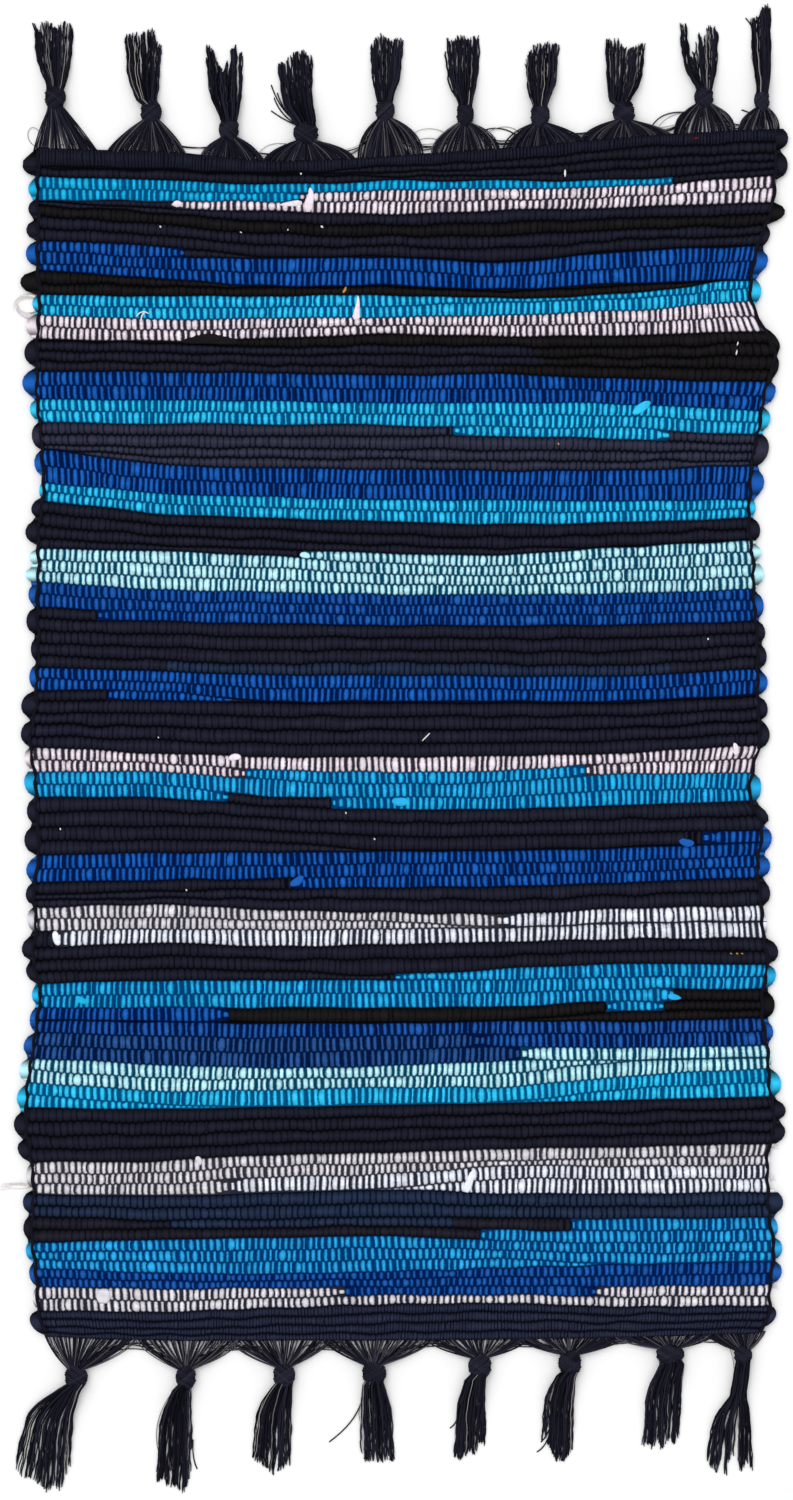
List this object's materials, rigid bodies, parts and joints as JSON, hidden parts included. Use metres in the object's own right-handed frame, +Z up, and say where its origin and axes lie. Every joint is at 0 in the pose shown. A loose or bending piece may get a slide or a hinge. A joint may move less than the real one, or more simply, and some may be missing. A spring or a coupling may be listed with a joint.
{
  "type": "rag rug",
  "caption": "Flat hand-woven rag rug with uneven cross stripes in blues, black, white and pink, and knotted warp tassels along both ends.",
  "frame": {"origin": "centre of the bounding box's footprint, on the floor under the rug", "axes": "+X across the rug, +Y along it towards the end with more tassels, +Z up out of its face"},
  "size_m": [0.627, 1.212, 0.0104],
  "materials": {
    "rag_cotton": "matt cotton rag weft in stripes of blue, black, white and pink",
    "warp_cotton": "matt dark cotton yarn"
  },
  "bodies": {
    "root": {"woven_body": "rag_cotton", "tassel_top_1": "warp_cotton", "tassel_top_2": "warp_cotton", "tassel_top_3": "warp_cotton", "tassel_top_4": "warp_cotton", "tassel_top_5": "warp_cotton", "tassel_top_6": "warp_cotton", "tassel_top_7": "warp_cotton", "tassel_top_8": "warp_cotton", "tassel_top_9": "warp_cotton", "tassel_top_10": "warp_cotton", "tassel_bottom_1": "warp_cotton", "tassel_bottom_2": "warp_cotton", "tassel_bottom_3": "warp_cotton", "tassel_bottom_4": "warp_cotton", "tassel_bottom_5": "warp_cotton", "tassel_bottom_6": "warp_cotton", "tassel_bottom_7": "warp_cotton", "tassel_bottom_8": "warp_cotton"}
  },
  "joints": []
}
